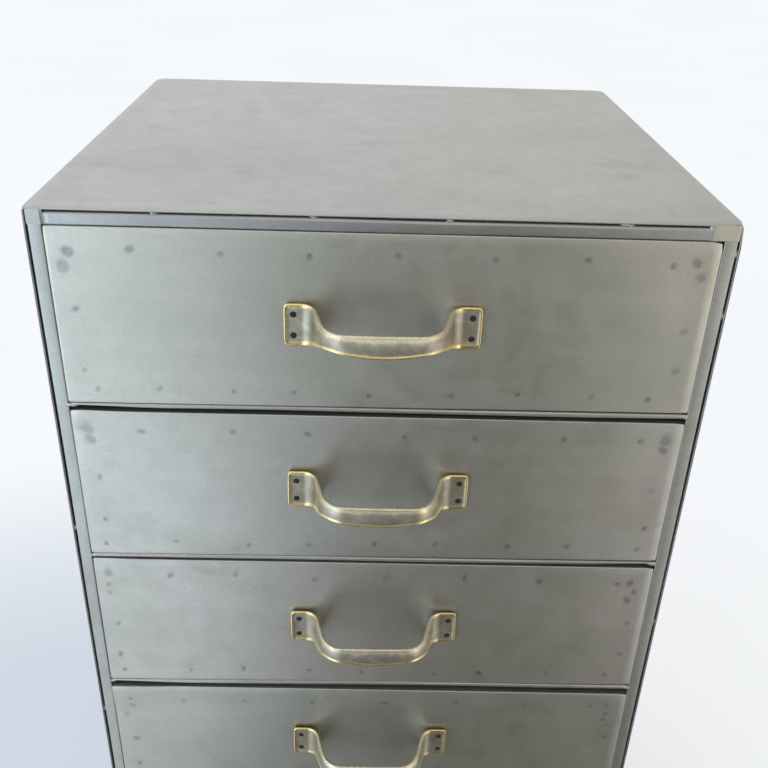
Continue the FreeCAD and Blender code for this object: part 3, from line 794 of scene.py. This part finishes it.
def make_rivets(number):
    """Domed heads on the feet of a pull and flat tails inside the drawer."""
    node = "handle_rivets_%d" % number
    low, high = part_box(node)
    tail_radius = 3.0 * MM
    head_radius = 2.35 * MM
    shank_radius = 1.5 * MM
    rise = 0.8 * MM
    across = (high.x - low.x) / 2 - tail_radius
    up = (high.z - low.z) / 2 - tail_radius
    middle = (low.z + high.z) / 2
    foot_face = low.y + rise
    profile = [(0.02 * MM, foot_face - 0.75 * rise), (0.5 * head_radius, foot_face - 0.62 * rise),
               (0.85 * head_radius, foot_face - 0.25 * rise), (head_radius, foot_face + 0.2 * rise),
               (shank_radius, foot_face + 0.6 * rise), (shank_radius, high.y - rise),
               (tail_radius, high.y - rise), (tail_radius, high.y - 0.3 * rise),
               (0.7 * tail_radius, high.y), (0.02 * MM, high.y)]
    sides = 20
    vertices, faces = [], []
    for x in (-across, across):
        for z in (middle - up, middle + up):
            rivet = []
            for radius, y in profile:
                for k in range(sides):
                    angle = 2 * math.pi * k / sides
                    rivet.append((x + radius * math.cos(angle), y, z + radius * math.sin(angle)))
            add_shape(vertices, faces, rivet, tube_faces(len(profile), sides))
    piece = new_piece("pull_rivets_%d" % number, vertices, faces)
    dress(piece, LOOKS["rivet"])
    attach(piece, "drawer_%d" % number)
    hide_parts(node)


# ---------------------------------------------------------------- carcass

def make_top():
    """Top sheet, a little buckled, with worn corners."""
    dice = random.Random(41)
    marks = []
    front_row = 6
    for k in range(front_row):
        across = -0.42 + 0.17 * k + dice.uniform(-0.02, 0.02)
        marks.append(Mark(across * WIDTH, dice.uniform(12, 24) * MM, dice.uniform(2.0, 3.2) * MM,
                          dice.uniform(0.12, 0.3)))

    def to_world(points):
        return np.stack([points[:, 0], FRONT + points[:, 1], HEIGHT - points[:, 2]], -1)

    piece = sheet_piece("top_sheet", WIDTH, DEPTH, to_world, radii=(3 * MM, 8 * MM, 9 * MM, 9 * MM),
                        bend=0.55 * MM, marks=marks, wave=0.9 * MM, seed=77, step=7 * MM)
    dress(piece, LOOKS["top"])
    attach(piece, "carcass")
    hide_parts("top_panel")


SQUARE_CORNER = 0.5 * MM


def wall_marks(name, width, height):
    """A column of spot welds near each upright edge, two for every drawer."""
    dice = random.Random(len(name) * 7 + (1 if "left" in name else 2))
    marks = []
    rows = DRAWERS * 2
    for k in range(rows):
        v = height * (k + 0.5) / rows + dice.uniform(-6, 6) * MM
        for edge in (-1, 1):
            marks.append(Mark(edge * (width / 2 - 12 * MM) + dice.uniform(-2, 2) * MM, v,
                              dice.uniform(2.0, 3.0) * MM, dice.uniform(0.45, 0.85)))
    return marks


def make_wall(node, name, front_end, front_round=SQUARE_CORNER):
    """Side or back sheet. front_end is the end of u, -1 or 1, that lies at the front; 0 for the back."""
    low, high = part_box(node)
    size = high - low
    width = size.y if front_end else size.x
    middle = (low.y + high.y) / 2
    radii = [SQUARE_CORNER, SQUARE_CORNER] + [front_round if end == front_end else SQUARE_CORNER
                                              for end in (-1, 1)]

    def to_world(points):
        u, v, w = points[:, 0], points[:, 1], points[:, 2]
        if front_end == 0:
            return np.stack([-u, high.y - w, low.z + v], -1)
        if front_end > 0:
            return np.stack([low.x + w, middle - u, low.z + v], -1)
        return np.stack([high.x - w, middle + u, low.z + v], -1)

    def front_gap_shade(points):
        """The raw cut edge that shows beside the stile is painted dark, as painted shade of the gap
        between side sheet and stile.
        """
        return (points[:, 0] * front_end > width / 2 - 0.1 * MM) * 1.0

    piece = sheet_piece(name, width, size.z, to_world, radii=radii, bend=0.3 * MM,
                        marks=wall_marks(name, width, size.z), seed=len(node), step=14 * MM,
                        dark_edge=front_gap_shade)
    dress(piece, LOOKS["side"])
    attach(piece, "carcass")
    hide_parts(node)


def make_stiles():
    """Front posts with lightly rounded edges, a little uneven up their length."""
    for side, node in ((-1, "left_stile"), (1, "right_stile")):
        low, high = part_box(node)
        outer, inner = 0.8 * MM, 0.7 * MM
        front_low, front_high = (outer, inner) if side < 0 else (inner, outer)
        section = bar_section(low.x, high.x, low.y, high.y, (front_low, front_high, 1 * MM, 1 * MM))
        stations = 90
        vertices = []
        for s in range(stations):
            z = low.z + (high.z - low.z) * s / (stations - 1)
            sway = 0.12 * MM * math.sin(z * 23.0 + side)
            lean = 0.12 * MM + 0.15 * MM * (1 + math.sin(z * 17.0 + 2 * side))
            for x, y in section:
                vertices.append((x + sway, y + lean, z))
        piece = new_piece("stile_%s" % ("left" if side < 0 else "right"), vertices,
                          tube_faces(stations, len(section)))
        dress(piece, LOOKS["frame"])
        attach(piece, "carcass")
        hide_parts(node)


def make_rail(node, name, radii, seed, extra=0.0):
    """Horizontal rail, lofted across with small hand-made unevenness, its upper edge extra higher."""
    low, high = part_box(node)
    section = bar_section(low.y, high.y, low.z, high.z + extra, radii)
    dice = random.Random(seed)
    phases = [dice.uniform(0, FULL_TURN) for _ in range(3)]
    stations = 80
    wobble = 0.12 * MM
    vertices = []
    middle = (low.z + high.z) / 2
    for s in range(stations):
        x = low.x + (high.x - low.x) * s / (stations - 1)
        swell = wobble * (math.sin(x * 19 + phases[0]) + 0.6 * math.sin(x * 47 + phases[1]))
        back = 0.15 * MM + 0.25 * MM * (1 + math.sin(x * 26 + phases[2]))
        for y, z in section:
            vertices.append((x, y + back, z + (swell if z > middle else swell * 0.5)))
    piece = new_piece(name, vertices, tube_faces(stations, len(section)))
    dress(piece, LOOKS["rail"])
    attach(piece, "carcass")
    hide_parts(node)


def make_dividers():
    """Rails between the drawers: a rolled nose with a flat flange, thinner towards one end."""
    for number in range(1, DRAWERS):
        node = "divider_rail_%d" % number
        low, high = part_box(node)
        dice = random.Random(300 + number)
        phases = [dice.uniform(0, FULL_TURN) for _ in range(3)]
        nose = 8.0 * MM
        flange = 1.2 * MM
        round_nose = 1.8 * MM
        stations = 90
        outline = bar_section(low.y, low.y + nose, low.z, high.z,
                              (round_nose, 0.3 * MM, 0.01 * MM, round_nose))
        corner = 2 * ARC_POINTS
        outline[corner:corner + ARC_POINTS] = [
            (low.y + nose, high.z - flange), (high.y, high.z - flange),
            (high.y, high.z - 0.6 * flange), (high.y, high.z)]
        vertices = []
        for s in range(stations):
            along = s / (stations - 1)
            x = low.x + (high.x - low.x) * along
            thin = 1.0 - 0.45 * float(smooth_step(0.16, 0.0, along if number % 2 else 1 - along))
            swell = 0.18 * MM * (math.sin(x * 15 + phases[0]) + 0.5 * math.sin(x * 41 + phases[1]))
            back = 0.35 * MM * (1 + math.sin(x * 18 + phases[2]))
            for y, z in outline:
                nose_part = z < high.z - flange * 1.01
                z_new = high.z - (high.z - z) * thin + (swell if nose_part else 0.0)
                vertices.append((x, min(y + back, high.y), z_new))
        piece = new_piece("divider_%d" % number, vertices, tube_faces(stations, len(outline)))
        dress(piece, LOOKS["frame"])
        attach(piece, "carcass")
        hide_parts(node)


def make_welds():
    """Lumpy beads where the CAD has its plain tack welds, found from that node's own solids."""
    vertices, faces = [], []
    for index, (centre, extent) in enumerate(solid_boxes(frame["nodes"]["tack_welds"].data)):
        on_rail = extent.z < extent.x
        half_long = 5.2 * MM if centre.x > 0.1 else 3.0 * MM
        size = (half_long, 3.4 * MM, 1.4 * MM) if on_rail else (1.4 * MM, 3.2 * MM, 3.4 * MM)
        add_shape(vertices, faces, *blob((centre.x, centre.y - 1.6 * MM, centre.z), size, index))
    piece = new_piece("tack_beads", vertices, faces)
    dress(piece, LOOKS["bead"])
    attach(piece, "carcass")
    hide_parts("tack_welds")


def make_corner_joints():
    """Welds ground flush over the frame's two upper corners, longer along the rail on the right."""
    stile_low, stile_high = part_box("right_stile")
    rail_low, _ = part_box("top_rail")
    for side, overlap in ((-1, 1.5 * MM), (1, 11.0 * MM)):
        inner, outer = stile_low.x - overlap, stile_high.x + 0.4 * MM
        section = bar_section(FRONT + 0.03 * MM, FRONT + 4 * MM, rail_low.z + 0.1 * MM,
                              HEIGHT - 0.5 * SHEET, (0.8 * MM, 0.5 * MM, 0.5 * MM, 0.5 * MM))
        stations = 20
        vertices = []
        for s in range(stations):
            along = s / (stations - 1)
            x = side * (inner + (outer - inner) * along)
            fade = float(smooth_step(0.0, 0.12, along))
            for y, z in section:
                vertices.append((x, y + (1 - fade) * 0.8 * MM, z))
        piece = new_piece("corner_joint_%s" % ("left" if side < 0 else "right"), vertices,
                          tube_faces(stations, len(section)))
        dress(piece, LOOKS["ground" if side > 0 else "frame"])
        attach(piece, "carcass")


def make_end_welds():
    """Flattened weld beads that close each divider's ends against the stiles."""
    stile_low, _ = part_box("right_stile")
    vertices, faces = [], []
    for number in range(1, DRAWERS):
        low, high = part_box("divider_rail_%d" % number)
        dice = random.Random(700 + number)
        for side in (-1, 1):
            size = (dice.uniform(3.6, 4.8) * MM, 1.45 * MM, 1.75 * MM)
            centre = (side * (stile_low.x - 1.6 * MM), FRONT + 1.5 * MM, (low.z + high.z) / 2)
            add_shape(vertices, faces, *blob(centre, size, 40 + number * 2 + side))
    piece = new_piece("divider_end_welds", vertices, faces)
    dress(piece, LOOKS["ground"])
    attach(piece, "carcass")


def dress_plain_nodes():
    """Better materials on the CAD nodes that stay as they are."""
    shown = {"bottom_panel": "hidden", "rear_posts": "hidden", "legs": "frame", "glides": "rubber"}
    for number in range(1, DRAWERS + 1):
        shown["runners_%d" % number] = "hidden"
        shown["drawer_box_%d" % number] = "hidden"
    for node, look in shown.items():
        dress(frame["nodes"][node], LOOKS[look])


# ---------------------------------------------------------------- stage

def make_floor():
    """Pale floor, with a painted soft shadow that makes it cooler and darker in a patch on the chest's
    left.
    """
    half = 30.0
    painted_shadow_middle = (-0.55, 0.20, 0.0)
    floor = flat_piece("floor", [(-half, -half, 0), (half, -half, 0), (half, half, 0), (-half, half, 0)])
    s = Shader("pale_floor")
    cloud = s.noise(0.8, 3.0, 0.5)
    colour = s.mix(s.spread(cloud, 0.3, 0.7), (0.86, 0.865, 0.875), (0.885, 0.887, 0.892))
    # Painted shadow: the floor colour turns cooler and darker near a spot to the left of the chest.
    colour = s.mix(s.distance(painted_shadow_middle, 0.25, 1.15), (0.60, 0.635, 0.69), colour)
    dress(floor, s.finish(colour, 0.85, 0.0))


def make_cards():
    """Dark cards that only reflections see, so the steel has something to show: one stands, one lies."""
    near, low, high = FRONT - 1.15, 0.015, 1.1
    left, right = -0.23, 0.62
    s = Shader("dark_cloth")
    weave = s.noise(40.0, 3.0, 0.5)
    cloth = s.finish(s.mix(weave, (0.072, 0.060, 0.030), (0.088, 0.072, 0.036)), 0.95, 0.0)
    standing = [(left, near, low), (right, near, low), (right, near, high), (left, near, high)]
    lying = [(left, near, low), (right, near, low), (right, FRONT - 0.2, low), (left, FRONT - 0.2, low)]
    for name, corners in (("standing_card", standing), ("lying_card", lying)):
        card = flat_piece(name, corners)
        dress(card, cloth)
        card.visible_camera = False
        card.visible_shadow = False
        card.visible_diffuse = False


def area_light(name, place, target, size, power, colour):
    """A rectangular lamp at place, facing target, that the camera doesn't see."""
    data = bpy.data.lights.new(name, "AREA")
    data.shape = "RECTANGLE"
    data.size, data.size_y = size
    data.energy = power
    data.color = colour
    lamp = bpy.data.objects.new(name, data)
    lamp.location = place
    lamp.rotation_euler = (Vector(target) - Vector(place)).to_track_quat("-Z", "Y").to_euler()
    lamp.visible_camera = False
    bpy.context.scene.collection.objects.link(lamp)


WINDOW_SIDE = (1.30, 1.38, 1.50, 1.0)
ROOM_SIDE = (0.66, 0.62, 0.54, 1.0)
DAYLIGHT = (0.54, 0.79, 1.0)
LAMPLIGHT = (1.0, 0.86, 0.58)


def make_light():
    """Cool window from the left, weak bounce from below, warm fill from the right and a soft room."""
    middle = (0.0, FRONT, HEIGHT * 0.8)
    area_light("window", (-1.3, FRONT - 1.5, 0.8), middle, (1.1, 1.5), 12.5, DAYLIGHT)
    area_light("low_bounce", (-0.36, FRONT - 0.75, 0.10), (-0.1, FRONT, HEIGHT * 0.6), (0.3, 0.9), 0.7,
               DAYLIGHT)
    area_light("warm_fill", (1.5, FRONT - 1.3, 0.8), middle, (0.8, 1.2), 4.5, LAMPLIGHT)
    world = bpy.data.worlds.new("soft_room")
    world.use_nodes = True
    tree = world.node_tree
    background = tree.nodes["Background"]
    direction = tree.nodes.new("ShaderNodeTexCoord")
    parts = tree.nodes.new("ShaderNodeSeparateXYZ")
    ramp = tree.nodes.new("ShaderNodeMapRange")
    ramp.inputs["From Min"].default_value = -1.0
    tint = tree.nodes.new("ShaderNodeMix")
    tint.data_type = "RGBA"
    tint.inputs[6].default_value = WINDOW_SIDE
    tint.inputs[7].default_value = ROOM_SIDE
    tree.links.new(direction.outputs["Generated"], parts.inputs["Vector"])
    tree.links.new(parts.outputs["X"], ramp.inputs["Value"])
    tree.links.new(ramp.outputs["Result"], tint.inputs[0])
    tree.links.new(tint.outputs[2], background.inputs["Color"])
    background.inputs["Strength"].default_value = 1.07
    bpy.context.scene.world = world
    bpy.context.scene.view_settings.view_transform = "Standard"


def make_camera():
    """A standing viewer's camera, just above the top edge and looking down at the drawers."""
    yaw, pitch, roll = math.radians(-1.480), math.radians(28.650), math.radians(1.923)
    right = Vector((math.cos(yaw), math.sin(yaw), 0))
    ahead = Vector((-math.sin(yaw) * math.cos(pitch), math.cos(yaw) * math.cos(pitch), -math.sin(pitch)))
    up = right.cross(ahead)
    turned_right = right * math.cos(roll) + up * math.sin(roll)
    turned_up = up * math.cos(roll) - right * math.sin(roll)
    data = bpy.data.cameras.new("camera")
    data.sensor_width = 36.0
    data.lens = 43.39
    data.clip_start = 0.01
    camera = bpy.data.objects.new("camera", data)
    aside, away, above = -0.02725 * WIDTH, 1.22742 * WIDTH, 0.40827 * WIDTH
    place = Vector((aside, FRONT - away, HEIGHT + above))
    turn = Matrix((turned_right, turned_up, -ahead)).transposed()
    camera.matrix_world = Matrix.Translation(place) @ turn.to_4x4()
    bpy.context.scene.collection.objects.link(camera)
    bpy.context.scene.camera = camera


make_camera()
make_top()
make_wall("left_side_panel", "side_sheet_left", 1, front_round=2.5 * MM)
make_wall("right_side_panel", "side_sheet_right", -1, front_round=7.0 * MM)
make_wall("back_panel", "back_sheet", 0)
make_stiles()
make_rail("top_rail", "rail_top", (1.6 * MM, 1 * MM, 1 * MM, 2.4 * MM), 61, extra=0.6 * MM)
make_rail("bottom_rail", "rail_bottom", (2.6 * MM, 1 * MM, 1 * MM, 3.2 * MM), 62)
make_dividers()
make_welds()
make_corner_joints()
make_end_welds()
for drawer in range(1, DRAWERS + 1):
    make_front(drawer)
    make_pull(drawer)
    make_rivets(drawer)
dress_plain_nodes()
make_floor()
make_cards()
make_light()
